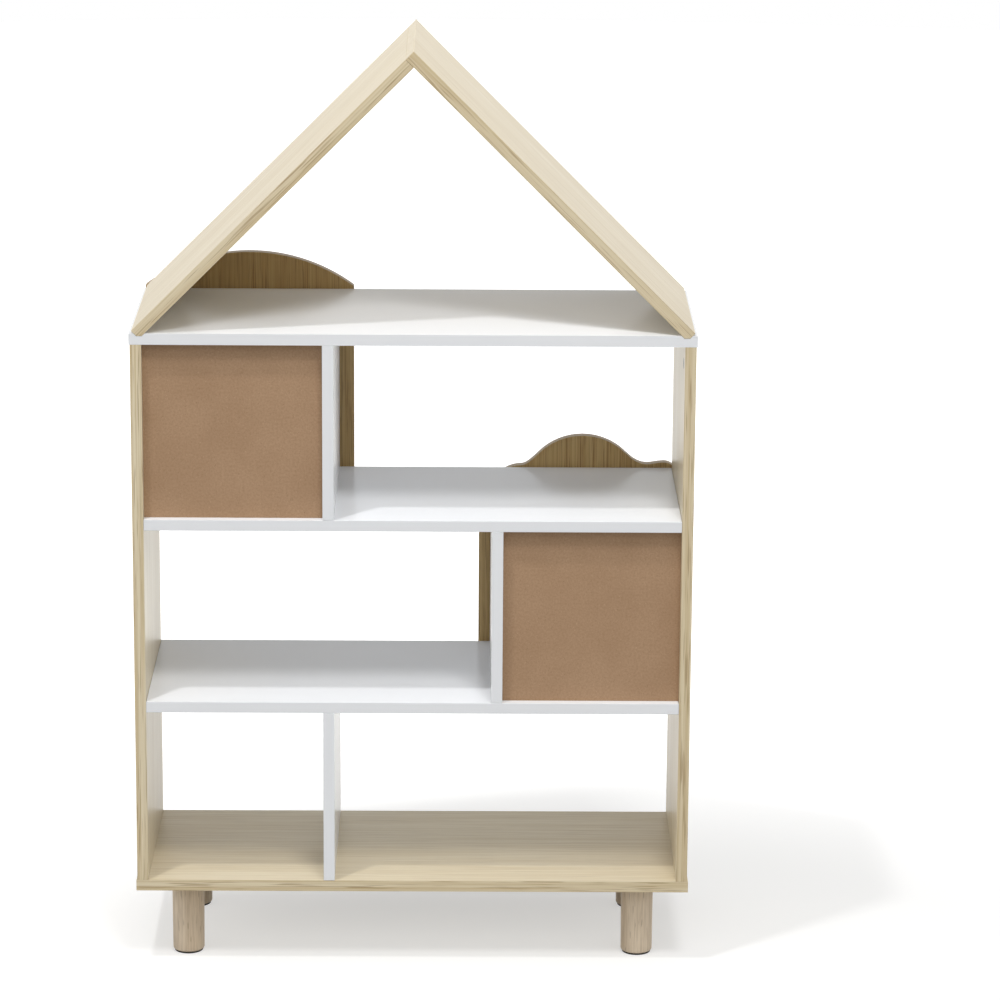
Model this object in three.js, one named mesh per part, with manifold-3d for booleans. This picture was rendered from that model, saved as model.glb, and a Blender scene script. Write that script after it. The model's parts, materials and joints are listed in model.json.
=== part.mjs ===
// Children's house-shaped bookcase with two doors, in millimetres.
// Open shelves on three levels stand under a gable roof, on four round legs.
// The floor is z = 0, the doors are at the front, towards -Y, and left and
// right are those of a person who faces the doors.

import * as THREE from 'three';
import { mergeVertices } from 'three/addons/utils/BufferGeometryUtils.js';
import Module from 'manifold-3d';

const wasm = await Module();
wasm.setup();

// Carcass
const caseWidth = 750; // top and bottom boards, end to end
const caseDepth = 300; // every board, front edge to back edge
const boardThickness = 15;
const levelCount = 3;
const levelHeight = 238; // clear height of each level
const sideInset = 1.5; // board ends stand out past the side panels
const cubbyWidth = 238; // clear width of the narrow compartment of each level
const seam = 0.2; // hairline between two pieces that meet
const overrun = 5; // how far a cutting shape runs past the wood

// Roof, two boards at 45 degrees
const roofThickness = 15;
const footLift = 3.5; // a roof board's outer lower corner above the top board
const footDepth = 3.5; // depth of the V groove that holds the foot

// Back panels of the two closed compartments
const backThickness = 3;
const backInset = 14; // back face in from the back edges
const backTongue = 5; // how far the panel enters its grooves
const backPlay = 0.4; // room around the panel in its grooves

// Legs, with a hanger bolt in the top and a glide pad below
const legHeight = 104; // floor to the underside of the bottom board
const legRadius = 22;
const legEndInset = 67; // leg's axis in from the board end
const legEdgeInset = 55; // leg's axis in from the front or back edge
const legRounding = 3.5;
const padThickness = 2;
const padInset = 2.5; // pad's rim in from the leg's side
const legBoltRadius = 4;
const legBoltInBoard = 11;
const legBoltInLeg = 36;
const boltClearance = 0.3; // radial room of a fastener in its hole
const holeEndRoom = 1; // room past a fastener's tip

// Doors
const doorThickness = 15;
const doorGap = 3; // door's back face to the boards' front edges
const upperDoorLap = 20; // door past the divider, over the open compartment
const lowerDoorLap = 16.2;
const archRise = 50.5; // crown of the upper door above the top board
const archShoulder = 3; // its corners above the top board

// Cloud edge of the lower door, heights from the top of the upper shelf
const cloudRise = 44.7; // crown of the middle puff
const crownRadius = 86;
const crownOffset = 2; // crown's axis from mid-door, towards the hinges
const hingePuffTop = 6.9;
const hingePuffReach = 26; // puff's crown in from the hinge edge
const hingePuffDrop = 35.6;
const freePuffTop = 2;
const freePuffReach = 57.8; // puff's crown in from the free edge
const freePuffDrop = 86;
const hingeValleyPull = 24; // how far the valleys run on at 45 degrees
const hingeValleyLevel = 18;
const freeValleyPull = 14;
const freeValleyLevel = 6;

// Butt hinges, two to a door
const knuckleRadius = 3;
const knuckleRoom = 0.15; // half of the gap between two knuckles
const hingePinRadius = 1.45;
const hingeHeight = 45;
const hingeInset = 50; // hinge's middle from the compartment's floor or ceiling
const leafThickness = 1.1;
const leafWidth = 12.5;
const leafNotchRoom = 0.35; // room round the other leaf's knuckle
const leafHoleRadius = 1.9;
const leafHoleSpacing = 27;
const pinHeadRadius = 2.3;
const pinHeadHeight = 1.2;

// Knobs
const knobReach = 25; // door's front face to the knob's tip
const knobRadius = 16;
const knobInset = 50; // knob's axis in from the door's free edge
const knobScrewRadius = 1.9;
const knobScrewGrip = 9; // how far the screw enters the knob
const screwHeadRadius = 4;
const screwHeadHeight = 2.2;

// Magnet catches under the board above each door, and strike plates
const catchWidth = 40;
const catchDepth = 30;
const catchHeight = 12;
const catchInset = 16; // catch's side from the divider
const catchFaceGap = 0.4; // magnet's face to the strike plate
const magnetWidth = 22;
const magnetHeight = 6;
const magnetRecess = 1;
const strikeWidth = 34;
const strikeHeight = 10;
const strikeThickness = 1.1;

// Cam locks at the top of the side panels, and their bolts
const camRadius = 7.5;
const camDepth = 12;
const camDrop = 29; // cam's centre below the top board
const fastenerEdgeInset = 35; // fasteners in from the front or back edge
const camBoltRadius = 3;
const camBoltInBoard = 10;
const camShankRadius = 2.3;
const camHeadRadius = 3.1;
const camHeadHeight = 3;
const camChannelRoom = 0.4;
const camSlotWidth = 1.6;
const camSlotDepth = 1.2;
const camSlotMargin = 2;

// Screws that hold the bottom board to the side panels, from below
const baseScrewHeadRadius = 5;
const baseScrewHeadHeight = 3;
const baseScrewNeckRadius = 3.5;
const baseScrewThreadRadius = 2.5;
const baseScrewInPanel = 34;
const baseScrewTipHeight = 3;

// Facets round a circle
const legSides = 32;
const smallSides = 20;
const roundingSteps = 4;
const archSteps = 28;
const cloudSteps = 8;

const finishes = {
  white_board: { color: '#e9e8e5', roughness: 0.45, metalness: 0 },
  oak_board: { color: '#d2c3a3', roughness: 0.4, metalness: 0 },
  back_panel: { color: '#a8876a', roughness: 0.85, metalness: 0 },
  leg_wood: { color: '#bfab8e', roughness: 0.6, metalness: 0 },
  pad: { color: '#2b2926', roughness: 0.9, metalness: 0 },
  steel: { color: '#b9bbbd', roughness: 0.35, metalness: 1 },
  zinc: { color: '#9a9b9c', roughness: 0.45, metalness: 1 },
  catch_plastic: { color: '#e4e2dc', roughness: 0.5, metalness: 0 },
};

// Places worked out from the sizes
const root2 = Math.SQRT2;
const frontReach = doorGap + doorThickness + knobReach;
const levelPitch = levelHeight + boardThickness;
const sideOuter = caseWidth / 2 - sideInset;
const sideInner = sideOuter - boardThickness;
const sideMiddle = sideOuter - boardThickness / 2;
const dividerMiddle = sideInner - cubbyWidth - boardThickness / 2;
const frontEdge = -caseDepth / 2;
const backEdge = caseDepth / 2;
const levelFloor = (level) => legHeight + boardThickness + level * levelPitch;
const topBoardUnderside = levelFloor(levelCount) - boardThickness;
const roofBase = levelFloor(levelCount);
const fastenerPlaces = [frontEdge + fastenerEdgeInset, backEdge - fastenerEdgeInset];
const sides = [
  { name: 'left', sign: -1 },
  { name: 'right', sign: 1 },
];
const closedCubbies = [
  { name: 'upper', level: 2, sign: 1, lap: upperDoorLap },
  { name: 'lower', level: 1, sign: -1, lap: lowerDoorLap },
];

// Solids, and the cutting of one by another
function toSolid(geometry) {
  const bare = geometry.clone();
  bare.deleteAttribute('normal');
  bare.deleteAttribute('uv');
  const merged = mergeVertices(bare);
  return new wasm.Manifold(new wasm.Mesh({
    numProp: 3,
    vertProperties: new Float32Array(merged.attributes.position.array),
    triVerts: new Uint32Array(merged.index.array),
  }));
}

function toGeometry(solid) {
  const mesh = solid.getMesh();
  const geometry = new THREE.BufferGeometry();
  geometry.setAttribute('position', new THREE.BufferAttribute(mesh.vertProperties, 3));
  geometry.setIndex(new THREE.BufferAttribute(mesh.triVerts, 1));
  return geometry;
}

// The cuts are geometries in the carcass's frame, and so is the place.
function carve(geometry, place, cuts) {
  let solid = toSolid(geometry.clone().translate(...place));
  for (const cut of cuts) solid = solid.subtract(toSolid(cut));
  return toGeometry(solid).translate(-place[0], -place[1], -place[2]);
}

function block(width, depth, height, place = [0, 0, 0]) {
  return new THREE.BoxGeometry(width, depth, height).translate(...place);
}

function uprightCylinder(radius, height, place, facets = smallSides) {
  const cylinder = new THREE.CylinderGeometry(radius, radius, height, facets);
  return cylinder.rotateX(Math.PI / 2).translate(...place);
}

function sidewaysCylinder(radius, length, place, facets = smallSides) {
  const cylinder = new THREE.CylinderGeometry(radius, radius, length, facets);
  return cylinder.rotateZ(Math.PI / 2).translate(...place);
}

function frontToBackCylinder(radius, length, place, facets = smallSides) {
  return new THREE.CylinderGeometry(radius, radius, length, facets).translate(...place);
}

// A turned piece from [radius, height] pairs that start and end on the axis.
function turned(profile, facets = smallSides) {
  const points = profile.map(([radius, height]) => new THREE.Vector2(radius, height));
  return new THREE.LatheGeometry(points, facets).rotateX(Math.PI / 2);
}

// A flat outline in x and z, made solid from y = 0 towards the front.
function slab(shape, thickness, curveSteps) {
  const options = { depth: thickness, bevelEnabled: false, curveSegments: curveSteps };
  return new THREE.ExtrudeGeometry(shape, options).rotateX(Math.PI / 2);
}

const bookcase = new THREE.Group();
bookcase.position.y = frontReach / 2;

function place(parent, name, geometry, finish, position = [0, 0, 0]) {
  const material = new THREE.MeshStandardMaterial(finishes[finish]);
  const mesh = new THREE.Mesh(geometry, material);
  mesh.name = name;
  mesh.position.set(...position);
  parent.add(mesh);
}

// Back panel of a closed compartment, and the grooves that hold it
function backPanelPlace(cubby) {
  const x = cubby.sign * (sideInner - cubbyWidth / 2);
  const y = backEdge - backInset - backThickness / 2;
  return [x, y, levelFloor(cubby.level) + levelHeight / 2];
}

function backPanelBlock(cubby, room) {
  const width = cubbyWidth + 2 * (backTongue + room);
  const height = levelHeight + 2 * (backTongue + room);
  return block(width, backThickness + 2 * room, height, backPanelPlace(cubby));
}

const backGrooves = closedCubbies.map((cubby) => backPanelBlock(cubby, backPlay));

function addBackPanel(cubby) {
  const width = cubbyWidth + 2 * backTongue;
  const height = levelHeight + 2 * backTongue;
  const panel = block(width, backThickness, height);
  place(bookcase, `${cubby.name}_back_panel`, panel, 'back_panel', backPanelPlace(cubby));
}

// Holes for the cam bolts, which stand in the top board over each side panel
function camBoltHole(sign, y) {
  const depth = camBoltInBoard + holeEndRoom;
  const z = topBoardUnderside + (depth - overrun) / 2;
  const radius = camBoltRadius + boltClearance;
  return uprightCylinder(radius, depth + overrun, [sign * sideMiddle, y, z]);
}

// The V groove with a flat floor that a roof board's foot stands in
function roofGroove(sign) {
  const half = caseWidth / 2;
  const innerLine = half - (roofThickness + seam) * root2;
  const outerLine = half - 2 * footLift + seam * root2;
  const floor = -footDepth - seam;
  const corners = [
    [innerLine - floor, floor],
    [innerLine - overrun, overrun],
    [outerLine + overrun, overrun],
    [outerLine + floor, floor],
  ];
  const shape = new THREE.Shape(corners.map(([x, z]) => new THREE.Vector2(sign * x, z)));
  const length = caseDepth + 2 * overrun;
  return slab(shape, length).translate(0, length / 2, roofBase);
}

// Screws from below into the side panels, and the holes for the leg bolts
function baseScrewHoles(sign, y) {
  const x = sign * sideMiddle;
  const neck = boardThickness + 2 * overrun;
  const head = baseScrewHeadHeight + boltClearance;
  return [
    uprightCylinder(baseScrewNeckRadius + boltClearance, neck, [x, y, legHeight + neck / 2 - overrun]),
    uprightCylinder(baseScrewHeadRadius + boltClearance, head + overrun,
      [x, y, legHeight + (head - overrun) / 2]),
  ];
}

function legBoltHole(x, y) {
  const depth = legBoltInBoard + holeEndRoom;
  const z = legHeight + (depth - overrun) / 2;
  return uprightCylinder(legBoltRadius + boltClearance, depth + overrun, [x, y, z]);
}

const legPlaces = [];
for (const side of sides) {
  const x = side.sign * (caseWidth / 2 - legEndInset);
  legPlaces.push({ name: `front_${side.name}`, x, y: frontEdge + legEdgeInset });
  legPlaces.push({ name: `back_${side.name}`, x, y: backEdge - legEdgeInset });
}

function addTopBoard() {
  const at = [0, 0, topBoardUnderside + boardThickness / 2];
  const cuts = [...backGrooves];
  for (const side of sides) {
    cuts.push(roofGroove(side.sign));
    for (const y of fastenerPlaces) cuts.push(camBoltHole(side.sign, y));
  }
  const board = carve(block(caseWidth, caseDepth, boardThickness), at, cuts);
  place(bookcase, 'top_board', board, 'white_board', at);
}

function addBottomBoard() {
  const at = [0, 0, legHeight + boardThickness / 2];
  const cuts = legPlaces.map((leg) => legBoltHole(leg.x, leg.y));
  for (const side of sides) {
    for (const y of fastenerPlaces) cuts.push(...baseScrewHoles(side.sign, y));
  }
  const board = carve(block(caseWidth, caseDepth, boardThickness), at, cuts);
  place(bookcase, 'bottom_board', board, 'oak_board', at);
}

// Pocket for a cam in the panel's inner face, and the bolt's bore above it
function camPocket(sign, y) {
  const depth = camDepth + boltClearance;
  const x = sign * (sideInner + (depth - overrun) / 2);
  const z = topBoardUnderside - camDrop;
  return [
    sidewaysCylinder(camRadius + boltClearance, depth + overrun, [x, y, z]),
    uprightCylinder(camHeadRadius + boltClearance, camDrop + overrun,
      [sign * sideMiddle, y, z + (camDrop + overrun) / 2]),
  ];
}

function baseScrewPilot(sign, y) {
  const depth = baseScrewInPanel + holeEndRoom;
  const z = levelFloor(0) + (depth - overrun) / 2;
  const radius = baseScrewThreadRadius + boltClearance;
  return uprightCylinder(radius, depth + overrun, [sign * sideMiddle, y, z]);
}

function addSidePanel(side) {
  const height = topBoardUnderside - levelFloor(0) - 2 * seam;
  const at = [side.sign * sideMiddle, 0, levelFloor(0) + seam + height / 2];
  const cuts = [...backGrooves];
  for (const y of fastenerPlaces) {
    cuts.push(...camPocket(side.sign, y), baseScrewPilot(side.sign, y));
  }
  const panel = carve(block(boardThickness, caseDepth, height), at, cuts);
  place(bookcase, `${side.name}_side_panel`, panel, 'oak_board', at);
}

function addShelf(name, level) {
  const at = [0, 0, levelFloor(level) - boardThickness / 2];
  const length = 2 * (sideInner - seam);
  const shelf = carve(block(length, caseDepth, boardThickness), at, backGrooves);
  place(bookcase, name, shelf, 'white_board', at);
}

function addDivider(name, level, sign) {
  const height = levelHeight - 2 * seam;
  const at = [sign * dividerMiddle, 0, levelFloor(level) + levelHeight / 2];
  const divider = carve(block(boardThickness, caseDepth, height), at, backGrooves);
  place(bookcase, name, divider, 'white_board', at);
}

// Roof boards: the left one runs on to the ridge, and the right one ends on it.
function roofBoardShape(topEndOuter, topEndInner, sign) {
  const half = caseWidth / 2;
  const corners = [
    topEndOuter,
    topEndInner,
    [half - roofThickness * root2 + footDepth, -footDepth],
    [half - 2 * footLift - footDepth, -footDepth],
    [half - footLift, footLift],
  ];
  return new THREE.Shape(corners.map(([x, z]) => new THREE.Vector2(sign * x, z)));
}

function addRoof() {
  const half = caseWidth / 2;
  const step = roofThickness / root2;
  const gap = seam / root2;
  const longShape = roofBoardShape([0, half], [-step, half - step], -1);
  const shortShape = roofBoardShape([step + gap, half - step - gap], [gap, half - 2 * step - gap], 1);
  const at = [0, backEdge, roofBase];
  place(bookcase, 'left_roof_board', slab(longShape, caseDepth), 'oak_board', at);
  place(bookcase, 'right_roof_board', slab(shortShape, caseDepth), 'oak_board', at);
}

// A leg, its hanger bolt and its glide pad
function legProfile() {
  const bottom = padThickness + seam;
  const top = legHeight - seam;
  const bore = legBoltRadius + boltClearance;
  const boreFloor = top - legBoltInLeg - holeEndRoom;
  const profile = [[0, bottom]];
  for (let step = 0; step <= roundingSteps; step += 1) {
    const angle = (step / roundingSteps) * (Math.PI / 2);
    profile.push([
      legRadius - legRounding * (1 - Math.sin(angle)),
      bottom + legRounding * (1 - Math.cos(angle)),
    ]);
  }
  profile.push([legRadius, top], [bore, top], [bore, boreFloor], [0, boreFloor]);
  return profile;
}

function addLeg(leg) {
  const group = new THREE.Group();
  group.position.set(leg.x, leg.y, 0);
  bookcase.add(group);
  place(group, `${leg.name}_leg`, turned(legProfile(), legSides), 'leg_wood');
  const padRadius = legRadius - padInset;
  const pad = uprightCylinder(padRadius, padThickness, [0, 0, padThickness / 2], legSides);
  place(group, `${leg.name}_leg_pad`, pad, 'pad');
  const boltFoot = legHeight - legBoltInLeg;
  const boltTop = legHeight + legBoltInBoard;
  const tip = legBoltRadius / 2;
  const bolt = turned([
    [0, boltFoot],
    [tip, boltFoot],
    [legBoltRadius, boltFoot + tip],
    [legBoltRadius, boltTop - tip],
    [tip, boltTop],
    [0, boltTop],
  ]);
  place(group, `${leg.name}_leg_bolt`, bolt, 'steel');
}

// A cam in its pocket, with a cross slot in its face and a channel for the bolt
function addCamLock(side, label, y) {
  const face = side.sign * sideInner;
  const z = topBoardUnderside - camDrop;
  const at = [face + (side.sign * camDepth) / 2, y, z];
  const slotLength = 2 * (camRadius - camSlotMargin);
  const slotDepth = 2 * camSlotDepth;
  const channel = camHeadRadius + camChannelRoom;
  const channelHeight = camRadius + camHeadHeight + overrun;
  const channelZ = z + (camRadius + overrun - camHeadHeight) / 2;
  const cam = carve(sidewaysCylinder(camRadius, camDepth, [0, 0, 0], legSides), at, [
    block(slotDepth, slotLength, camSlotWidth, [face, y, z]),
    block(slotDepth, camSlotWidth, slotLength, [face, y, z]),
    uprightCylinder(channel, channelHeight, [side.sign * sideMiddle, y, channelZ]),
  ]);
  place(bookcase, `${label}_${side.name}_cam`, cam, 'zinc', at);

  const headBottom = -camDrop - camHeadHeight / 2;
  const headTop = headBottom + camHeadHeight;
  const bolt = turned([
    [0, headBottom],
    [camHeadRadius, headBottom],
    [camHeadRadius, headTop],
    [camShankRadius, headTop],
    [camShankRadius, 0],
    [camBoltRadius, 0],
    [camBoltRadius, camBoltInBoard],
    [0, camBoltInBoard],
  ]);
  const boltAt = [side.sign * sideMiddle, y, topBoardUnderside];
  place(bookcase, `${label}_${side.name}_cam_bolt`, bolt, 'steel', boltAt);
}

function addBaseScrew(side, label, y) {
  const neckTop = boardThickness - baseScrewNeckRadius;
  const tip = boardThickness + baseScrewInPanel;
  const screw = turned([
    [0, 0],
    [baseScrewHeadRadius, 0],
    [baseScrewHeadRadius, baseScrewHeadHeight],
    [baseScrewNeckRadius, baseScrewHeadHeight],
    [baseScrewNeckRadius, neckTop],
    [baseScrewThreadRadius, boardThickness],
    [baseScrewThreadRadius, tip - baseScrewTipHeight],
    [0, tip],
  ]);
  const at = [side.sign * sideMiddle, y, legHeight];
  place(bookcase, `${label}_${side.name}_base_screw`, screw, 'steel', at);
}

// Outlines of the two doors, from their lower edge at the middle
const doorRise = levelHeight + 2 * boardThickness;
const doorWidth = (cubby) => 2 * boardThickness + cubbyWidth + cubby.lap;

function archedDoorShape(cubby) {
  const half = doorWidth(cubby) / 2;
  const shoulder = doorRise + archShoulder;
  const sagitta = archRise - archShoulder;
  const radius = (half * half + sagitta * sagitta) / (2 * sagitta);
  const centre = shoulder + sagitta - radius;
  const start = Math.atan2(shoulder - centre, half);
  const shape = new THREE.Shape();
  shape.moveTo(-half, 0);
  shape.lineTo(half, 0);
  shape.lineTo(half, shoulder);
  shape.absarc(0, centre, radius, start, Math.PI - start, false);
  shape.closePath();
  return shape;
}

// The cloud edge, drawn from the free edge on the right to the hinge edge
function cloudDoorShape(cubby) {
  const half = doorWidth(cubby) / 2;
  const freeX = half - freePuffReach;
  const freeZ = doorRise + freePuffTop;
  const hingeX = hingePuffReach - half;
  const hingeZ = doorRise + hingePuffTop;
  const crownZ = doorRise + cloudRise - crownRadius;
  const slope = crownRadius / root2;
  const freeEnd = { x: slope - crownOffset, z: crownZ + slope };
  const hingeEnd = { x: -slope - crownOffset, z: crownZ + slope };
  const shape = new THREE.Shape();
  shape.moveTo(-half, 0);
  shape.lineTo(half, 0);
  shape.absellipse(freeX, freeZ - freePuffDrop, freePuffReach, freePuffDrop, 0, Math.PI / 2, false, 0);
  shape.bezierCurveTo(
    freeX - freeValleyLevel, freeZ,
    freeEnd.x + freeValleyPull, freeEnd.z - freeValleyPull,
    freeEnd.x, freeEnd.z,
  );
  shape.absarc(-crownOffset, crownZ, crownRadius, Math.PI / 4, (3 * Math.PI) / 4, false);
  shape.bezierCurveTo(
    hingeEnd.x - hingeValleyPull, hingeEnd.z - hingeValleyPull,
    hingeX + hingeValleyLevel, hingeZ,
    hingeX, hingeZ,
  );
  shape.absellipse(hingeX, hingeZ - hingePuffDrop, hingePuffReach, hingePuffDrop,
    Math.PI / 2, Math.PI, false, 0);
  shape.closePath();
  return shape;
}

// Upper and lower doors, each in a group whose origin is mid-width on the back
// face at the lower edge
function addDoor(cubby, shape, curveSteps) {
  const width = doorWidth(cubby);
  const group = new THREE.Group();
  const middle = sideOuter - width / 2;
  const base = levelFloor(cubby.level) - boardThickness;
  group.position.set(cubby.sign * middle, frontEdge - doorGap, base);
  bookcase.add(group);

  const knobX = -cubby.sign * (width / 2 - knobInset);
  const knobZ = doorRise / 2;
  const screwHole = frontToBackCylinder(knobScrewRadius + boltClearance,
    doorThickness + 2 * overrun, [knobX, -doorThickness / 2, knobZ]);
  const door = carve(slab(shape, doorThickness, curveSteps), [0, 0, 0], [screwHole]);
  place(group, `${cubby.name}_door`, door, 'oak_board');
  addKnob(group, cubby.name, knobX, knobZ);
  addStrikePlate(group, cubby, middle);
}

// A turned knob, its radius and length as shares of the knob's own
const knobProfileShares = [
  [0.56, 0],
  [0.5, 0.1],
  [0.44, 0.26],
  [0.5, 0.4],
  [0.84, 0.56],
  [0.98, 0.66],
  [1, 0.76],
  [0.93, 0.88],
  [0.66, 0.97],
  [0, 1],
];

function addKnob(group, name, x, z) {
  const length = knobReach - seam;
  const bore = knobScrewRadius + boltClearance;
  const boreDepth = knobScrewGrip + holeEndRoom;
  const profile = [[0, boreDepth], [bore, boreDepth], [bore, 0]];
  for (const [radiusShare, lengthShare] of knobProfileShares) {
    profile.push([knobRadius * radiusShare, length * lengthShare]);
  }
  const towardsFront = Math.PI / 2;
  const knob = turned(profile, legSides).rotateX(towardsFront);
  place(group, `${name}_door_knob`, knob, 'leg_wood', [x, -doorThickness - seam, z]);

  const shank = doorThickness + seam + knobScrewGrip;
  const screw = turned([
    [0, -screwHeadHeight],
    [screwHeadRadius, -screwHeadHeight],
    [screwHeadRadius, -seam],
    [knobScrewRadius, -seam],
    [knobScrewRadius, shank],
    [0, shank],
  ]).rotateX(towardsFront);
  place(group, `${name}_door_knob_screw`, screw, 'steel', [x, 0, z]);
}

// Magnet catch in the case and the steel plate on the door that it holds
const catchMiddle = dividerMiddle + boardThickness / 2 + catchInset + catchWidth / 2;
const strikeFace = doorGap - seam - strikeThickness; // strike plate's face from the front edges

function addStrikePlate(group, cubby, doorMiddle) {
  const x = cubby.sign * (catchMiddle - doorMiddle);
  const z = boardThickness + levelHeight - seam - catchHeight / 2;
  const plate = block(strikeWidth, strikeThickness, strikeHeight);
  place(group, `${cubby.name}_door_strike_plate`, plate, 'steel', [x, seam + strikeThickness / 2, z]);
}

function addCatch(cubby) {
  const front = frontEdge - strikeFace + catchFaceGap;
  const z = levelFloor(cubby.level) + levelHeight - seam - catchHeight / 2;
  const at = [cubby.sign * catchMiddle, front + catchDepth / 2, z];
  const recess = block(magnetWidth, 2 * magnetRecess, magnetHeight, [at[0], front, z]);
  const body = carve(block(catchWidth, catchDepth, catchHeight), at, [recess]);
  place(bookcase, `${cubby.name}_magnet_catch`, body, 'catch_plastic', at);
}

// A butt hinge about an upright pin just outside the panel's front corner
function leaf(outward, towardsCase, knuckleSpans, otherSpans) {
  const plateWidth = knuckleRadius + leafWidth;
  const plateY = towardsCase * (doorGap / 2 - seam - leafThickness / 2);
  const plate = block(plateWidth, leafThickness, hingeHeight, [(-outward * plateWidth) / 2, plateY, 0]);
  let solid = toSolid(plate);
  for (const [low, high] of knuckleSpans) {
    const knuckle = uprightCylinder(knuckleRadius, high - low, [0, 0, (low + high) / 2]);
    solid = solid.add(toSolid(knuckle));
  }
  const notch = knuckleRadius + leafNotchRoom;
  for (const [low, high] of otherSpans) {
    const room = block(2 * notch, 2 * notch, high - low, [0, 0, (low + high) / 2]);
    solid = solid.subtract(toSolid(room));
  }
  const bore = uprightCylinder(hingePinRadius + boltClearance, hingeHeight + 2 * overrun, [0, 0, 0]);
  solid = solid.subtract(toSolid(bore));
  const holeX = -outward * (knuckleRadius + leafWidth / 2);
  for (const end of [-1, 1]) {
    const hole = frontToBackCylinder(leafHoleRadius, 2 * overrun, [holeX, 0, (end * leafHoleSpacing) / 2]);
    solid = solid.subtract(toSolid(hole));
  }
  return toGeometry(solid);
}

function addHinge(cubby, label, z) {
  const group = new THREE.Group();
  const x = cubby.sign * (sideOuter + knuckleRadius);
  group.position.set(x, frontEdge - doorGap / 2, z);
  bookcase.add(group);
  const half = hingeHeight / 2;
  const knuckleCount = 3;
  const middle = half / knuckleCount; // half the length of the middle knuckle, the door's
  const caseSpans = [[-half, -middle - knuckleRoom], [middle + knuckleRoom, half]];
  const doorSpans = [[-middle + knuckleRoom, middle - knuckleRoom]];
  const caseNotches = [[-middle - knuckleRoom, middle + knuckleRoom]];
  const doorNotches = [[-half - overrun, -middle + knuckleRoom], [middle - knuckleRoom, half + overrun]];
  const name = `${cubby.name}_door_${label}_hinge`;
  place(group, `${name}_case_leaf`, leaf(cubby.sign, 1, caseSpans, caseNotches), 'steel');
  place(group, `${name}_door_leaf`, leaf(cubby.sign, -1, doorSpans, doorNotches), 'steel');
  const headBottom = half + seam;
  const pin = turned([
    [0, -half],
    [hingePinRadius, -half],
    [hingePinRadius, headBottom],
    [pinHeadRadius, headBottom],
    [pinHeadRadius, headBottom + pinHeadHeight],
    [0, headBottom + pinHeadHeight],
  ]);
  place(group, `${name}_pin`, pin, 'steel');
}

addBottomBoard();
addTopBoard();
for (const side of sides) {
  addSidePanel(side);
  fastenerPlaces.forEach((y, index) => {
    const label = index === 0 ? 'front' : 'back';
    addCamLock(side, label, y);
    addBaseScrew(side, label, y);
  });
}
addShelf('lower_shelf', 1);
addShelf('upper_shelf', 2);
addDivider('bottom_divider', 0, 1);
addDivider('middle_divider', 1, -1);
addDivider('top_divider', 2, 1);
addRoof();
legPlaces.forEach(addLeg);
for (const cubby of closedCubbies) {
  addBackPanel(cubby);
  addCatch(cubby);
  addHinge(cubby, 'lower', levelFloor(cubby.level) + hingeInset);
  addHinge(cubby, 'upper', levelFloor(cubby.level) + levelHeight - hingeInset);
}
addDoor(closedCubbies[0], archedDoorShape(closedCubbies[0]), archSteps);
addDoor(closedCubbies[1], cloudDoorShape(closedCubbies[1]), cloudSteps);

export default bookcase;
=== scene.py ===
import json
from math import cos, pi, radians, sin

import bmesh
import bpy
from mathutils import Matrix, Vector


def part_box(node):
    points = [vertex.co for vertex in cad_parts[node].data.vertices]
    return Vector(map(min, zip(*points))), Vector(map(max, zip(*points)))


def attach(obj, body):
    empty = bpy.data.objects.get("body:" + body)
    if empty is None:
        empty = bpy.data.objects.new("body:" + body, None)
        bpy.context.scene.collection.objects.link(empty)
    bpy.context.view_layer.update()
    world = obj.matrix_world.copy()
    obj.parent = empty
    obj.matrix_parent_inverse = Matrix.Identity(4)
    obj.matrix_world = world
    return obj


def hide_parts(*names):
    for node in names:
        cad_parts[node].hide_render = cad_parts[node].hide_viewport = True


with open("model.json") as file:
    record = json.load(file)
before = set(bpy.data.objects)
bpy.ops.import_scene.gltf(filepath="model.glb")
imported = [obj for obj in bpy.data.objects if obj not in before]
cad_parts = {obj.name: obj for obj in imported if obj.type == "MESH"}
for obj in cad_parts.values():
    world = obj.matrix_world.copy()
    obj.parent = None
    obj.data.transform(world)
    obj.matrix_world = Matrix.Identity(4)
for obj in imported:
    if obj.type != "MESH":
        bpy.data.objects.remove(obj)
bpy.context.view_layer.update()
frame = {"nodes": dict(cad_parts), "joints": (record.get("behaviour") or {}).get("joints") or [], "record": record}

# White boards: the top board, the two shelves and the three dividers. They are
# chipboard with a white melamine face, cut square, edged with white band and
# held by dowels and cam locks.
MM = 0.001
board_corner = 0.6 * MM
band_thickness = 1.0 * MM
hairline = 0.12 * MM
smooth_under = radians(35)


def colour(red, green, blue):
    """A colour read as 0-255 screen values, as the shaders take it."""
    shares = [value / 255 for value in (red, green, blue)]
    linear = [s / 12.92 if s <= 0.04045 else ((s + 0.055) / 1.055) ** 2.4 for s in shares]
    return (*linear, 1.0)


def put(tree, kind, sockets=None, **settings):
    """Adds a shader node. Each socket takes a value, or the output that feeds it."""
    made = tree.nodes.new(kind)
    for name, value in settings.items():
        setattr(made, name, value)
    for name, value in (sockets or {}).items():
        if isinstance(value, bpy.types.NodeSocket):
            tree.links.new(value, made.inputs[name])
        else:
            made.inputs[name].default_value = value
    return made


def noise(tree, vector, cells, detail=2.0, roughness=0.5, distortion=0.0):
    """Noise from 0 to 1, with so many cells to the metre along each axis."""
    spread = put(tree, "ShaderNodeVectorMath", {0: vector, 1: cells}, operation="MULTIPLY")
    sockets = {"Vector": spread.outputs[0], "Scale": 1.0, "Detail": detail,
               "Roughness": roughness, "Distortion": distortion}
    return put(tree, "ShaderNodeTexNoise", sockets).outputs["Fac"]


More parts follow.
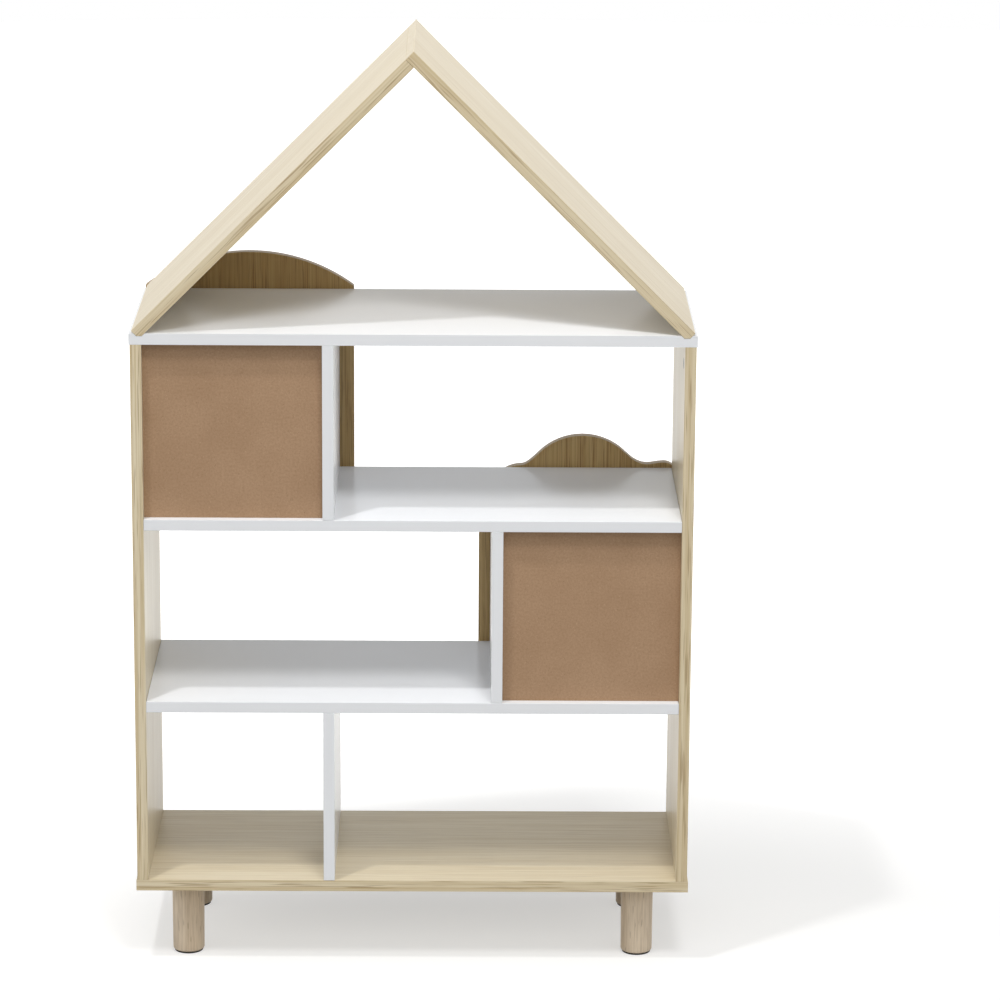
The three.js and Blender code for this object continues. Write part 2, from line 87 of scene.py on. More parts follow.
def between(tree, value, low, high, to_low=0.0, to_high=1.0):
    """The value's place from low to high, taken smoothly to the new range."""
    sockets = {"Value": value, "From Min": low, "From Max": high,
               "To Min": to_low, "To Max": to_high}
    node = put(tree, "ShaderNodeMapRange", sockets, interpolation_type="SMOOTHSTEP")
    return node.outputs["Result"]


def maths(tree, operation, first, second=0.0):
    """A Math node's result."""
    node = put(tree, "ShaderNodeMath", {0: first, 1: second}, operation=operation)
    return node.outputs[0]


def mixed(tree, share, first, second):
    """The first colour with a share of the second."""
    node = put(tree, "ShaderNodeMix", {0: share, 6: first, 7: second}, data_type="RGBA")
    return node.outputs[2]


def new_group(name, inputs, outputs):
    """An empty shader node group with named sockets, and its two end nodes."""
    group = bpy.data.node_groups.new(name, "ShaderNodeTree")
    kinds = {"vector": "NodeSocketVector", "value": "NodeSocketFloat", "colour": "NodeSocketColor"}
    for socket, kind in inputs.items():
        group.interface.new_socket(name=socket, in_out="INPUT", socket_type=kinds[kind])
    for socket, kind in outputs.items():
        group.interface.new_socket(name=socket, in_out="OUTPUT", socket_type=kinds[kind])
    given = group.nodes.new("NodeGroupInput").outputs
    result = group.nodes.new("NodeGroupOutput").inputs
    return group, given, result


def use_group(tree, group, sockets):
    """A group placed in a material with its own values."""
    return put(tree, "ShaderNodeGroup", sockets, node_tree=group).outputs


def new_finish(name, **plain):
    """A material, its node tree, its main shader and the piece's own coordinates."""
    material = bpy.data.materials.new(name)
    material.use_nodes = True
    tree = material.node_tree
    shader = tree.nodes["Principled BSDF"]
    for socket, value in plain.items():
        shader.inputs[socket.replace("_", " ")].default_value = value
    own = tree.nodes.new("ShaderNodeTexCoord").outputs["Object"]
    return material, tree, shader, own


def join(tree, shader, **sockets):
    """Feeds the shader's sockets."""
    for name, output in sockets.items():
        tree.links.new(output, shader.inputs[name.replace("_", " ")])


def bumped(tree, height, strength, distance):
    """A normal tilted by a height that runs from 0 to 1."""
    sockets = {"Height": height, "Strength": strength, "Distance": distance}
    return put(tree, "ShaderNodeBump", sockets).outputs["Normal"]


def from_board_middle(tree, vector, front, back):
    """How far a point lies from the middle of a board's depth from front to back."""
    depth = put(tree, "ShaderNodeSeparateXYZ", {"Vector": vector}).outputs["Y"]
    return maths(tree, "ABSOLUTE", maths(tree, "SUBTRACT", depth, (front + back) / 2))


# The glued joint of an edge band shows as a hairline beside a board's front and
# back edges.
case_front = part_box("top_board")[0].y
case_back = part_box("top_board")[1].y
line_place = (case_back - case_front) / 2 - band_thickness

edge_band, given, result = new_group(
    "edge band", {"Vector": "vector"}, {"Line": "value", "Band": "value"})
from_middle = from_board_middle(edge_band, given["Vector"], case_front, case_back)
off_line = maths(edge_band, "ABSOLUTE", maths(edge_band, "SUBTRACT", from_middle, line_place))
line = between(edge_band, off_line, hairline, 2 * hairline, 1.0, 0.0)
edge_band.links.new(line, result["Line"])
edge_band.links.new(maths(edge_band, "GREATER_THAN", from_middle, line_place), result["Band"])

white_board, tree, shader, own = new_finish("white board", IOR=1.5, Specular_IOR_Level=0.06)
cloudy = noise(tree, own, (9, 9, 9), detail=3)
stipple = noise(tree, own, (700, 700, 700), detail=2)
line = use_group(tree, edge_band, {"Vector": own})["Line"]
face = mixed(tree, cloudy, colour(234, 236, 239), colour(237, 238, 240))
face = mixed(tree, maths(tree, "MULTIPLY", line, 0.35), face, colour(178, 176, 172))
join(tree, shader,
     Base_Color=face,
     Roughness=between(tree, stipple, 0.3, 0.7, 0.18, 0.22),
     Normal=bumped(tree, stipple, 0.15, 0.01 * MM))

bodies = frame["record"]["behaviour"]["bodies"]
body_of_node = {node: body for body, nodes in bodies.items() for node in nodes}


def new_piece(name, shape, finishes, node, replaces=True, flat_faced=False):
    """A piece made from a bmesh, riding and finished as the node that it dresses."""
    mesh = bpy.data.meshes.new(name)
    shape.to_mesh(mesh)
    shape.free()
    for finish in finishes:
        mesh.materials.append(finish)
    piece = bpy.data.objects.new(name, mesh)
    bpy.context.scene.collection.objects.link(piece)
    mesh.shade_smooth()
    mesh.set_sharp_from_angle(angle=smooth_under)
    if flat_faced:
        facing = piece.modifiers.new("flat faces", "WEIGHTED_NORMAL")
        facing.keep_sharp = True
        facing.weight = 100
    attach(piece, body_of_node[node])
    if replaces:
        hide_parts(node)
    return piece


def softened(node, radius, steps=3):
    """The node's own solid with its sharp edges rounded."""
    same_point = 0.001 * MM
    same_plane = radians(0.5)
    shape = bmesh.new()
    shape.from_mesh(frame["nodes"][node].data)
    bmesh.ops.remove_doubles(shape, verts=shape.verts, dist=same_point)
    bmesh.ops.dissolve_limit(shape, angle_limit=same_plane, verts=shape.verts, edges=shape.edges)
    sharp = [edge for edge in shape.edges if edge.calc_face_angle(0) > smooth_under]
    bmesh.ops.bevel(shape, geom=sharp, offset=radius, segments=steps, profile=0.5,
                    affect="EDGES", clamp_overlap=True)
    return shape


white_boards = ("top_board", "upper_shelf", "lower_shelf",
                "top_divider", "middle_divider", "bottom_divider")
for node in white_boards:
    board = softened(node, board_corner)
    new_piece(f"{node}_finished", board, [white_board], node, flat_faced=True)

# Oak boards: the side panels, the bottom board and the roof. They are chipboard
# with a printed oak melamine on both faces and on the edge band. All but the
# bottom board have a satin finish that turns pale at a low angle.
ring_density = 46.0
oak_grain, given, result = new_group(
    "oak grain",
    {"Vector": "vector", "Pale": "colour", "Deep": "colour", "Pore": "colour", "Contrast": "value"},
    {"Color": "colour", "Height": "value", "Roughness": "value"})
vector = given["Vector"]
drift = noise(oak_grain, vector, (7, 7, 0.7), detail=1)
rings = noise(oak_grain, vector, (22, 22, 0.9), detail=1.5, distortion=0.35)
ring_lines = maths(oak_grain, "SINE", maths(oak_grain, "MULTIPLY", rings, ring_density))
ring_lines = between(oak_grain, ring_lines, -0.6, 1.0)
streaks = noise(oak_grain, vector, (260, 260, 2.4), detail=4, roughness=0.65)
streak = between(oak_grain, streaks, 0.38, 0.62)
fibres = noise(oak_grain, vector, (900, 900, 14), detail=2)
pores = between(oak_grain, noise(oak_grain, vector, (620, 620, 14), detail=1), 0.56, 0.68)
deep_shares = (
    between(oak_grain, drift, 0.3, 0.7, 0.0, 0.3),
    maths(oak_grain, "MULTIPLY", streak, given["Contrast"]),
    maths(oak_grain, "MULTIPLY", ring_lines, 0.24),
    maths(oak_grain, "MULTIPLY", fibres, 0.2),
)
tone = given["Pale"]
for share in deep_shares:
    tone = mixed(oak_grain, share, tone, given["Deep"])
pore_share = maths(oak_grain, "MULTIPLY", pores, maths(oak_grain, "MULTIPLY", given["Contrast"], 0.8))
oak_grain.links.new(mixed(oak_grain, pore_share, tone, given["Pore"]), result["Color"])
hollow = maths(oak_grain, "MAXIMUM", maths(oak_grain, "MULTIPLY", streak, 0.4), pores)
oak_grain.links.new(maths(oak_grain, "SUBTRACT", 1.0, hollow), result["Height"])
oak_grain.links.new(between(oak_grain, streaks, 0.3, 0.7, 0.34, 0.46), result["Roughness"])


def new_oak(name, turn, start, gloss):
    """Oak melamine whose grain runs along the turned Z axis. Each start gives other streaks."""
    finish, tree, shader, own = new_finish(name, IOR=1.5, Coat_Weight=gloss, Coat_Roughness=0.25)
    along = put(tree, "ShaderNodeMapping", {"Vector": own, "Location": start, "Rotation": turn})
    edge = use_group(tree, edge_band, {"Vector": own})
    grain = use_group(tree, oak_grain, {
        "Vector": along.outputs["Vector"],
        "Pale": colour(224, 212, 184),
        "Deep": colour(196, 176, 136),
        "Pore": colour(150, 124, 84),
        "Contrast": between(tree, edge["Band"], 0.0, 1.0, 0.26, 0.8),
    })
    line_share = maths(tree, "MULTIPLY", edge["Line"], 0.3)
    join(tree, shader,
         Base_Color=mixed(tree, line_share, grain["Color"], colour(140, 116, 80)),
         Roughness=grain["Roughness"],
         Normal=bumped(tree, grain["Height"], 0.3, 0.05 * MM))
    return finish


upright = (0.0, 0.0, 0.0)
lengthways = (0.0, radians(90), 0.0)
up_to_the_right = (0.0, radians(-45), 0.0)
up_to_the_left = (0.0, radians(45), 0.0)
satin = 0.2
matt = 0.0
oak_boards = {
    "left_side_panel": (upright, (0.31, 0.12, 0.4), satin),
    "right_side_panel": (upright, (0.83, 0.57, 1.9), satin),
    "bottom_board": (lengthways, (0.47, 0.21, 0.8), matt),
    "left_roof_board": (up_to_the_right, (1.13, 0.35, 0.2), satin),
    "right_roof_board": (up_to_the_left, (1.71, 0.66, 1.3), satin),
}
for node, (turn, start, gloss) in oak_boards.items():
    finish = new_oak(node.replace("_", " ") + " oak", turn, start, gloss)
    new_piece(f"{node}_finished", softened(node, board_corner), [finish], node, flat_faced=True)

# Back panels of the two closed compartments: raw brown fibreboard 3 mm thick,
# slid into grooves in the boards around them.
panel_corner = 0.25 * MM
raw_fibreboard, tree, shader, own = new_finish("raw fibreboard", IOR=1.45)
patches = noise(tree, own, (16, 16, 16), detail=3)
felt = noise(tree, own, (330, 330, 330), detail=4, roughness=0.7)
flecks = noise(tree, own, (900, 900, 420), detail=1)
face = mixed(tree, between(tree, patches, 0.3, 0.7), colour(176, 144, 113), colour(169, 137, 106))
face = mixed(tree, between(tree, felt, 0.35, 0.7, 0.0, 0.45), face, colour(146, 113, 83))
face = mixed(tree, between(tree, flecks, 0.68, 0.78, 0.0, 0.5), face, colour(203, 175, 143))
face = mixed(tree, between(tree, flecks, 0.32, 0.24, 0.0, 0.5), face, colour(116, 86, 60))
join(tree, shader,
     Base_Color=face,
     Roughness=between(tree, felt, 0.3, 0.7, 0.72, 0.86),
     Normal=bumped(tree, felt, 0.35, 0.06 * MM))
for node in ("upper_back_panel", "lower_back_panel"):
    panel = softened(node, panel_corner)
    new_piece(f"{node}_finished", panel, [raw_fibreboard], node, flat_faced=True)

# Legs: round posts turned from pale solid wood, lacquered, each screwed up on a
# hanger bolt. A dark glide pad is glued under each one.
leg_places = ("front_left", "front_right", "back_left", "back_right")
leg_taper = 0.5 * MM
foot_round = 3.0 * MM
top_round = 0.4 * MM
leg_facets = 96
pad_edge = 0.5 * MM
pad_facets = 72

turned_wood, tree, shader, own = new_finish("turned wood", IOR=1.5)
growth = noise(tree, own, (70, 70, 3.2), detail=3, roughness=0.6)
hairs = noise(tree, own, (800, 800, 26), detail=2)
dashes = noise(tree, own, (520, 520, 38), detail=1)
face = mixed(tree, between(tree, growth, 0.32, 0.68), colour(224, 206, 181), colour(208, 188, 161))
face = mixed(tree, between(tree, hairs, 0.4, 0.7, 0.0, 0.35), face, colour(162, 138, 109))
face = mixed(tree, between(tree, dashes, 0.66, 0.74, 0.0, 0.5), face, colour(136, 110, 82))
join(tree, shader,
     Base_Color=face,
     Roughness=between(tree, growth, 0.3, 0.7, 0.42, 0.52),
     Normal=bumped(tree, hairs, 0.3, 0.08 * MM))

glide_pad, tree, shader, own = new_finish("glide pad", IOR=1.5)
grime = noise(tree, own, (240, 240, 240), detail=3)
join(tree, shader,
     Base_Color=mixed(tree, grime, colour(36, 33, 30), colour(58, 54, 50)),
     Roughness=between(tree, grime, 0.3, 0.7, 0.8, 0.95),
     Normal=bumped(tree, grime, 0.4, 0.1 * MM))


def around(count):
    """Evenly spaced angles of a full turn."""
    return [2 * pi * step / count for step in range(count)]


def lathed(profile, facets, place, axis=Vector((0, 0, 1))):
    """A turned solid: (radius, height) points from the axis to the axis, stood at the place."""
    shape = bmesh.new()
    stand = Matrix.Translation(place) @ axis.to_track_quat("Z", "Y").to_matrix().to_4x4()
    rings = []
    for radius, height in profile:
        points = [Vector((radius * cos(turn), radius * sin(turn), height)) for turn in around(facets)]
        if radius == 0:
            points = [Vector((0, 0, height))]
        rings.append([shape.verts.new(stand @ point) for point in points])
    for lower, upper in zip(rings, rings[1:]):
        for step in range(facets):
            after = (step + 1) % facets
            corners = [lower[step % len(lower)], lower[after % len(lower)],
                       upper[after % len(upper)], upper[step % len(upper)]]
            shape.faces.new(list(dict.fromkeys(corners)))
    bmesh.ops.recalc_face_normals(shape, faces=shape.faces)
    return shape


def quarter(radius_at, height_at, size, start, steps=8):
    """Points of a quarter round about a centre, from one angle to a right angle further."""
    turns = [start + (pi / 2) * step / steps for step in range(steps + 1)]
    return [(radius_at + size * cos(turn), height_at + size * sin(turn)) for turn in turns]


for place in leg_places:
    low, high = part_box(f"{place}_leg")
    middle = (low + high) / 2
    height = high.z - low.z
    radius = (high.x - low.x) / 2
    profile = [(0, 0)]
    profile += quarter(radius - leg_taper - foot_round, foot_round, foot_round, -pi / 2)
    profile += quarter(radius - top_round, height - top_round, top_round, 0)
    profile.append((0, height))
    leg = lathed(profile, leg_facets, Vector((middle.x, middle.y, low.z)))
    new_piece(f"{place}_leg_turned", leg, [turned_wood], f"{place}_leg")

    low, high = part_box(f"{place}_leg_pad")
    radius = (high.x - low.x) / 2
    height = high.z - low.z
    profile = [(0, 0), (radius - pad_edge, 0), (radius, pad_edge), (radius, height - pad_edge),
               (radius - pad_edge, height), (0, height)]
    pad = lathed(profile, pad_facets, Vector((middle.x, middle.y, low.z)))
    new_piece(f"{place}_leg_pad_felt", pad, [glide_pad], f"{place}_leg_pad")

# Hidden steel: the legs' hanger bolts, the cam bolts and the screws that hold
# the bottom board. They are zinc-plated and sit in drilled holes.
head_facets = 36
rim_height_share = 0.55
crown_radius_share = 0.86
cross_reach_share = 0.55
cross_half_share = 0.14
cross_floor_share = 0.8
cross_floor_height_share = 0.35
base_head_height = 2.6 * MM
shank_facets = 24
shank_radius_share = 0.5
shank_straight_share = 0.8
shank_point_room = 0.4 * MM

plated_steel, tree, shader, own = new_finish("plated steel", Metallic=1.0)
plating = noise(tree, own, (420, 420, 420), detail=3)
scratches = noise(tree, own, (2600, 2600, 120), detail=1)
join(tree, shader,
     Base_Color=mixed(tree, plating, colour(196, 198, 200), colour(174, 177, 180)),
     Roughness=between(tree, scratches, 0.3, 0.7, 0.24, 0.42),
     Normal=bumped(tree, scratches, 0.15, 0.02 * MM))


def dress(nodes, finish):
    """Gives CAD pieces whose shape stays their finish."""
    for node in nodes:
        data = frame["nodes"][node].data
        data.materials.clear()
        data.materials.append(finish)


dress([f"{place}_leg_bolt" for place in leg_places], plated_steel)
dress([f"{place}_cam_bolt" for place in leg_places], plated_steel)


def cross_head(radius, height, place, axis):
    """A low screw head with a cross recess, its base at the place and its face along the axis."""
    shape = bmesh.new()

    def loop(points, level):
        made = [shape.verts.new((x, y, level)) for x, y in points]
        for one, other in zip(made, made[1:] + made[:1]):
            shape.edges.new((one, other))
        return made

    def circle(share, level):
        return loop([(radius * share * cos(turn), radius * share * sin(turn))
                     for turn in around(head_facets)], level)

    def wall(lower, upper):
        count = len(lower)
        for step in range(count):
            after = (step + 1) % count
            shape.faces.new((lower[step], lower[after], upper[after], upper[step]))

    def edges_of(ring):
        return [shape.edges.get(pair) for pair in zip(ring, ring[1:] + ring[:1])]

    reach = radius * cross_reach_share
    half = radius * cross_half_share
    cross = [(reach, -half), (reach, half), (half, half)]
    for arm in range(3):
        cross += [(-y, x) for x, y in cross[-3:]]
    smaller_cross = [(x * cross_floor_share, y * cross_floor_share) for x, y in cross]

    rim_low = circle(1.0, 0)
    rim_high = circle(1.0, height * rim_height_share)
    crown = circle(crown_radius_share, height)
    cross_top = loop(cross, height)
    cross_floor = loop(smaller_cross, height * cross_floor_height_share)
    shape.faces.new(reversed(rim_low))
    wall(rim_low, rim_high)
    wall(rim_high, crown)
    bmesh.ops.triangle_fill(shape, use_beauty=True, edges=edges_of(crown) + edges_of(cross_top))
    wall(cross_top, cross_floor)
    bmesh.ops.triangle_fill(shape, use_beauty=True, edges=edges_of(cross_floor))
    bmesh.ops.recalc_face_normals(shape, faces=shape.faces)
    facing = Vector(axis).to_track_quat("Z", "Y").to_matrix().to_4x4()
    shape.transform(Matrix.Translation(place) @ facing)
    return shape


for place in leg_places:
    node = f"{place}_base_screw"
    low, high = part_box(node)
    middle = (low + high) / 2
    radius = (high.x - low.x) / 2
    length = high.z - low.z
    under_head = Vector((middle.x, middle.y, low.z + base_head_height))
    screw = cross_head(radius, base_head_height, under_head, (0, 0, -1))
    shank_radius = radius * shank_radius_share
    tip = length - base_head_height - shank_point_room
    shank_profile = [(0, 0), (shank_radius, 0), (shank_radius, shank_straight_share * length), (0, tip)]
    shank = lathed(shank_profile, shank_facets, under_head)
    shank_mesh = bpy.data.meshes.new("shank")
    shank.to_mesh(shank_mesh)
    shank.free()
    screw.from_mesh(shank_mesh)
    bpy.data.meshes.remove(shank_mesh)
    new_piece(f"{node}_cross_head", screw, [plated_steel], node)

# Cam locks: cast zinc discs pressed into pockets in the side panels. A quarter
# turn with a screwdriver pulls the bolt of the top board down. Their zinc grey
# is set darker than bare zinc, as painted shade from the pockets.
cam_corner = 0.25 * MM
cast_zinc_with_painted_shade, tree, shader, own = new_finish("cast zinc", Metallic=1.0)
skin = noise(tree, own, (700, 700, 700), detail=4)
# Zinc grey set darker than bare zinc, as painted shade from the cams' pockets.
join(tree, shader,
     Base_Color=mixed(tree, skin, colour(122, 123, 124), colour(92, 94, 96)),
     Roughness=between(tree, skin, 0.3, 0.7, 0.38, 0.58),
     Normal=bumped(tree, skin, 0.4, 0.06 * MM))
for place in leg_places:
    node = f"{place}_cam"
    new_piece(f"{node}_cast", softened(node, cam_corner, 2), [cast_zinc_with_painted_shade], node, flat_faced=True)

# Doors: oak melamine boards 15 mm thick with the grain upright. One has an
# arched top and the other a cloud edge. Their edges are painted a little darker
# and greyer than their faces as painted shade, and the upper door's tone is set
# darker than the lower one's as painted shade from the roof.
door_start = {"upper": (2.3, 0.9, 0.7), "lower": (2.9, 1.4, 2.6)}
# The upper door's darker tone is painted shade from the roof.
door_tone_with_painted_shade = {"upper": colour(196, 169, 119), "lower": colour(207, 180, 129)}
# The band's darker, greyer colour is painted shade on the doors' edges.
door_band_painted_shade = colour(147, 127, 95)
door_corner = 1.2 * MM
for side, start in door_start.items():
    node = f"{side}_door"
    low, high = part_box(node)
    finish, tree, shader, own = new_finish(f"{side} door oak", IOR=1.5, Specular_IOR_Level=0.3)
    finer = put(tree, "ShaderNodeMapping", {"Vector": own, "Location": start, "Scale": (1.7, 1.7, 1.0)})
    grain = use_group(tree, oak_grain, {
        "Vector": finer.outputs["Vector"],
        "Pale": door_tone_with_painted_shade[side],
        "Deep": colour(170, 139, 90),
        "Pore": colour(116, 84, 44),
        "Contrast": 0.7,
    })
    face_place = (high.y - low.y) / 2
    # Painted shade: the edges take the darker band colour.
    edge_shade_share = between(tree, from_board_middle(tree, own, low.y, high.y),
                         face_place - 3 * hairline, face_place - hairline, 0.8, 0.0)
    join(tree, shader,
         Base_Color=mixed(tree, edge_shade_share, grain["Color"], door_band_painted_shade),
         Roughness=grain["Roughness"],
         Normal=bumped(tree, grain["Height"], 0.35, 0.06 * MM))
    new_piece(f"{node}_finished", softened(node, door_corner, 4), [finish], node, flat_faced=True)

# Knobs: turned from the same wood as the legs, each held by a screw through the
# door whose head lies on the door's back.
knob_shares = ((0.5, 0.0), (0.47, 0.1), (0.43, 0.26), (0.5, 0.4), (0.82, 0.55), (0.97, 0.66),
               (1.0, 0.76), (0.93, 0.88), (0.66, 0.965), (0.3, 0.995))
knob_facets = 96
curve_steps = 5
head_gap = 0.1 * MM


def eased(points, steps):
    """More points on a smooth curve through the ones given."""
    made = []
    last = len(points) - 1
    for index in range(last):
        nearest = [points[max(0, min(last, index + offset))] for offset in (-1, 0, 1, 2)]
        before, start, end, after = (Vector(point) for point in nearest)
        bend = 2 * before - 5 * start + 4 * end - after
        twist = 3 * start - before - 3 * end + after
        for step in range(steps):
            t = step / steps
            made.append(tuple(0.5 * (2 * start + (end - before) * t + bend * t ** 2 + twist * t ** 3)))
    return made + [tuple(points[-1])]


for side in ("upper", "lower"):
    node = f"{side}_door_knob"
    low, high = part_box(node)
    middle = (low + high) / 2
    radius = (high.x - low.x) / 2
    length = high.y - low.y
    outline = [(radius * r, length * h) for r, h in eased(knob_shares, curve_steps)]
    on_door = Vector((middle.x, high.y, middle.z))
    knob = lathed([(0, 0), *outline, (0, length)], knob_facets, on_door, Vector((0, -1, 0)))
    new_piece(f"{node}_turned", knob, [turned_wood], node)

    node = f"{side}_door_knob_screw"
    low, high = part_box(node)
    middle = (low + high) / 2
    door_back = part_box(f"{side}_door")[1].y
    base = Vector((middle.x, door_back + head_gap, middle.z))
    head = cross_head((high.x - low.x) / 2, high.y - base.y, base, (0, 1, 0))
    new_piece(f"{node}_head", head, [plated_steel], node)

# Butt hinges: pressed steel leaves rolled round a pin at the panel's front
# corner. Small countersunk screws hold the leaves.
pin_corner = 0.3 * MM
leaf_corner = 0.18 * MM
leaf_face_from_pin = 0.25 * MM
leaf_screw_radius = 1.7 * MM
leaf_screw_height = 0.9 * MM
leaf_screw_seat = 0.95 * MM
leaf_screw_rises = (-13.5 * MM, 13.5 * MM)
leaf_screw_from_pin = 9.25 * MM
joint_places = {joint["name"]: Vector(joint["pos_m"]) for joint in frame["joints"]}
for side, inwards in (("upper", -1), ("lower", 1)):
    axis = joint_places[f"{side}_door_hinge"]
    for level in ("upper", "lower"):
        hinge = f"{side}_door_{level}_hinge"
        pin = softened(f"{hinge}_pin", pin_corner, 2)
        new_piece(f"{hinge}_pin_plated", pin, [plated_steel], f"{hinge}_pin", flat_faced=True)
        low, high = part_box(f"{hinge}_case_leaf")
        middle = (low + high) / 2
        for leaf, outwards in (("case", -1), ("door", 1)):
            node = f"{hinge}_{leaf}_leaf"
            plate = softened(node, leaf_corner, 2)
            new_piece(f"{node}_pressed", plate, [plated_steel], node, flat_faced=True)
            screw_x = axis.x + inwards * leaf_screw_from_pin
            screw_y = axis.y - outwards * (leaf_face_from_pin + leaf_screw_seat)
            for index, rise in enumerate(leaf_screw_rises):
                base = Vector((screw_x, screw_y, middle.z + rise))
                screw = cross_head(leaf_screw_radius, leaf_screw_height, base, (0, outwards, 0))
                new_piece(f"{node}_screw_{index + 1}", screw, [plated_steel], node, replaces=False)

# Magnet catches: a plastic body under the board above each door, with a magnet
# between two steel plates, and a steel strike plate on the door.
catch_corner = 0.7 * MM
magnet_half = 1.4 * MM
pole_gap = 0.2 * MM
pole_thickness = 1.1 * MM
bar_half_length = 10 * MM
bar_front = 0.2 * MM
bar_back = 0.95 * MM
bar_corner = 0.15 * MM
strike_corner = 0.3 * MM
strike_screw_radius = 2.4 * MM
strike_screw_height = 0.35 * MM

catch_plastic, tree, shader, own = new_finish("catch plastic", IOR=1.46)
moulded = noise(tree, own, (900, 900, 900), detail=2)
join(tree, shader,
     Base_Color=mixed(tree, moulded, colour(228, 226, 220), colour(219, 217, 210)),
     Roughness=between(tree, moulded, 0.3, 0.7, 0.42, 0.52),
     Normal=bumped(tree, moulded, 0.2, 0.03 * MM))
magnet_black, tree, shader, own = new_finish("magnet", IOR=1.6)
sintered = noise(tree, own, (1200, 1200, 1200), detail=2)
join(tree, shader,
     Base_Color=mixed(tree, sintered, colour(46, 45, 45), colour(66, 65, 64)),
     Roughness=between(tree, sintered, 0.3, 0.7, 0.5, 0.62))


def bar(low, high, radius, steps=2):
    """A rounded bar between two corners."""
    shape = bmesh.new()
    bmesh.ops.create_cube(shape, size=1.0)
    shape.transform(Matrix.Translation((low + high) / 2) @ Matrix.Diagonal((*(high - low), 1.0)))
    bmesh.ops.bevel(shape, geom=shape.edges[:], offset=radius, segments=steps, profile=0.5, affect="EDGES")
    return shape


pole_near = magnet_half + pole_gap
pole_far = pole_near + pole_thickness
bars = (
    ("magnet", magnet_black, -magnet_half, magnet_half),
    ("lower_pole", plated_steel, -pole_far, -pole_near),
    ("upper_pole", plated_steel, pole_near, pole_far),
)
for side in ("upper", "lower"):
    node = f"{side}_magnet_catch"
    low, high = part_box(node)
    middle = (low + high) / 2
    new_piece(f"{node}_moulded", softened(node, catch_corner), [catch_plastic], node, flat_faced=True)
    for name, finish, bottom, top in bars:
        start = Vector((middle.x - bar_half_length, low.y + bar_front, middle.z + bottom))
        end = Vector((middle.x + bar_half_length, low.y + bar_back, middle.z + top))
        new_piece(f"{node}_{name}", bar(start, end, bar_corner), [finish], node, replaces=False)

    node = f"{side}_door_strike_plate"
    low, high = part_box(node)
    middle = (low + high) / 2
    plate = softened(node, strike_corner, 2)
    new_piece(f"{node}_pressed", plate, [plated_steel], node, flat_faced=True)
    on_plate = Vector((middle.x, high.y, middle.z))
    head = cross_head(strike_screw_radius, strike_screw_height, on_plate, (0, 1, 0))
    new_piece(f"{node}_screw", head, [plated_steel], node, replaces=False)

# The floor is a pale grey sweep that keeps its shadow. Where it is seen it glows
# as painted light: least around a point beside the case and more further out, so
# the shadow fades and the floor turns white away from the case. Its own glow is
# seen but lights nothing.
floor_radius = 9.0
floor_facets = 96
floor_below = 0.2 * MM
shadow_middle = (-0.35, 0.35, 0.0)
shadow_reach = 0.55
white_from = 1.6
least_glow = 0.48


def shown_rays(tree):
    """1 for rays that end in a picture of what they hit, and 0 for those that only gather light."""
    rays = tree.nodes.new("ShaderNodeLightPath").outputs
    mirrored = maths(tree, "MAXIMUM", rays["Is Glossy Ray"], rays["Is Transmission Ray"])
    return maths(tree, "MAXIMUM", rays["Is Camera Ray"], mirrored)


floor_material = bpy.data.materials.new("pale floor")
floor_material.use_nodes = True
tree = floor_material.node_tree
shader = tree.nodes["Principled BSDF"]
shader.inputs["Base Color"].default_value = colour(195, 195, 194)
shader.inputs["Roughness"].default_value = 0.9
shader.inputs["Specular IOR Level"].default_value = 0.0
shader.inputs["Emission Color"].default_value = (1.0, 1.0, 1.0, 1.0)
floor_place = tree.nodes.new("ShaderNodeTexCoord").outputs["Object"]
# Painted light: the glow rises with distance from a point beside the case, fading the shadow farther out.
away = put(tree, "ShaderNodeVectorMath", {0: floor_place, 1: shadow_middle}, operation="DISTANCE")
glow = between(tree, away.outputs["Value"], shadow_reach, white_from, least_glow, 1.0)
join(tree, shader, Emission_Strength=maths(tree, "MULTIPLY", glow, shown_rays(tree)))

sweep = bmesh.new()
bmesh.ops.create_circle(sweep, cap_ends=True, segments=floor_facets, radius=floor_radius)
sweep.transform(Matrix.Translation((0, 0, -floor_below)))
sweep_mesh = bpy.data.meshes.new("floor")
sweep.to_mesh(sweep_mesh)
sweep.free()
sweep_mesh.materials.append(floor_material)
floor = bpy.data.objects.new("floor", sweep_mesh)
bpy.context.scene.collection.objects.link(floor)

# Studio light: a small lamp high up behind the case gives the crisp shadows and
# a larger one softens them. The room itself glows from windows behind, from
# overhead, and from low in front, where it lights the doors.
case_middle = (0, 0.02, 0.7)
window_glow = 1.5
front_glow = 1.8
overhead_glow = 0.75


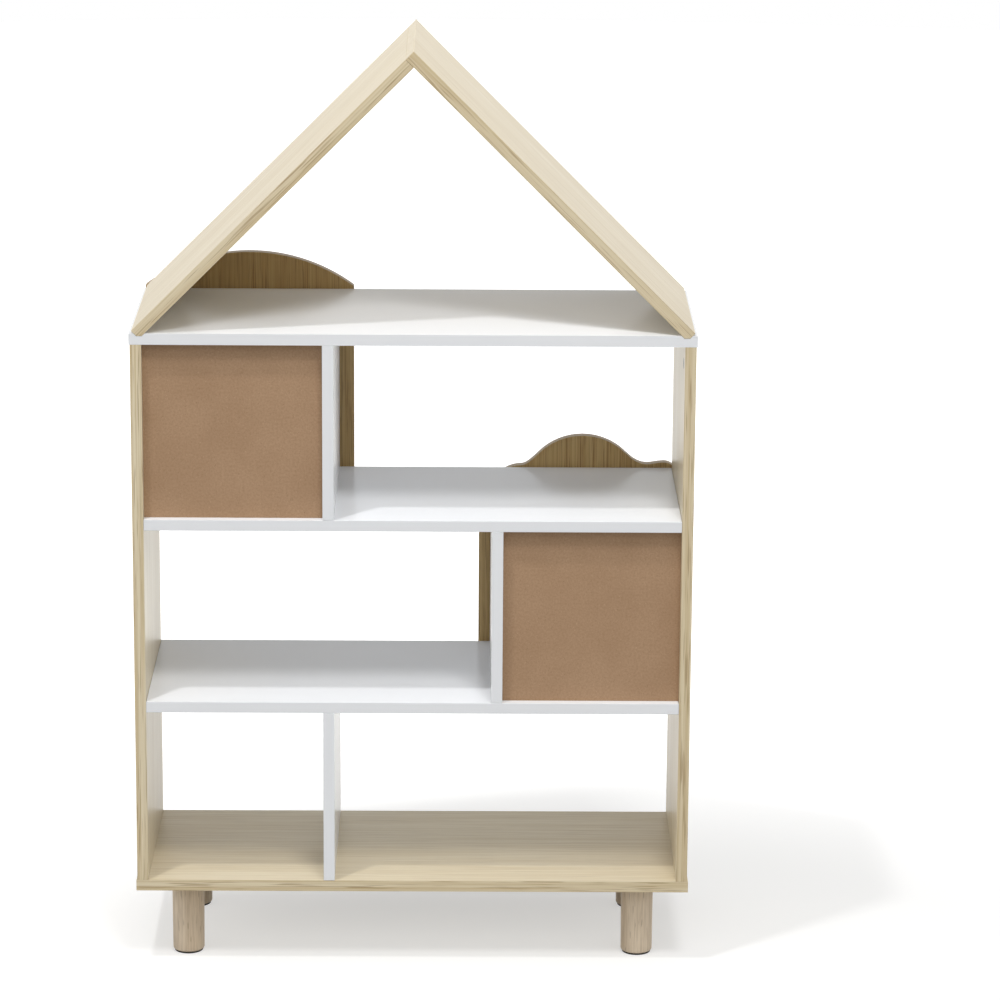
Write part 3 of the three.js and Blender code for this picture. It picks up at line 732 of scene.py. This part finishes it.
def add_lamp(name, place, target, size, power):
    """A square lamp aimed at a point."""
    lamp = bpy.data.lights.new(name, "AREA")
    lamp.shape = "SQUARE"
    lamp.size = size
    lamp.energy = power
    holder = bpy.data.objects.new(name, lamp)
    holder.location = place
    holder.rotation_euler = (Vector(target) - Vector(place)).to_track_quat("-Z", "Y").to_euler()
    bpy.context.scene.collection.objects.link(holder)


add_lamp("key lamp", (1.25, 1.57, 5.4), case_middle, 0.28, 84)
add_lamp("fill lamp", (-0.66, 2.37, 4.42), case_middle, 0.9, 65)

world = bpy.data.worlds.new("white room")
bpy.context.scene.world = world
world.use_nodes = True
tree = world.node_tree
tree.nodes.clear()
view = tree.nodes.new("ShaderNodeTexCoord").outputs["Generated"]
direction = put(tree, "ShaderNodeSeparateXYZ", {"Vector": view}).outputs
behind_case = between(tree, direction["Y"], -0.1, 0.1)
above_sill = between(tree, direction["Z"], 0.12, 0.5)
below_lintel = between(tree, direction["Z"], 0.6, 0.72, 1.0, 0.0)
overhead = between(tree, direction["Z"], 0.75, 0.88)
low_down = between(tree, direction["Z"], 0.15, 0.35, 1.0, 0.0)
window = maths(tree, "MULTIPLY", maths(tree, "MULTIPLY", behind_case, above_sill), below_lintel)
in_front = maths(tree, "MULTIPLY", maths(tree, "SUBTRACT", 1.0, behind_case), low_down)
glow = maths(tree, "MULTIPLY", window, window_glow)
glow = maths(tree, "ADD", glow, maths(tree, "MULTIPLY", in_front, front_glow))
glow = maths(tree, "ADD", glow, maths(tree, "MULTIPLY", overhead, overhead_glow))
shown = shown_rays(tree)
glow = maths(tree, "MULTIPLY", glow, maths(tree, "SUBTRACT", 1.0, shown))
strength = maths(tree, "ADD", glow, shown)
room = put(tree, "ShaderNodeBackground", {"Color": (1.0, 1.0, 1.0, 1.0), "Strength": strength})
put(tree, "ShaderNodeOutputWorld", {"Surface": room.outputs["Background"]})
bpy.context.scene.view_settings.view_transform = "Standard"

# Camera at the photograph's place, behind the case and looking down at it.
camera = bpy.data.objects.new("camera", bpy.data.cameras.new("camera"))
camera.data.sensor_width = 36
camera.data.lens = 155.2
camera.location = (-0.0595, 5.7212, 2.0774)
camera.rotation_euler = (radians(75.618), radians(-0.389), radians(179.521))
bpy.context.scene.collection.objects.link(camera)
bpy.context.scene.camera = camera
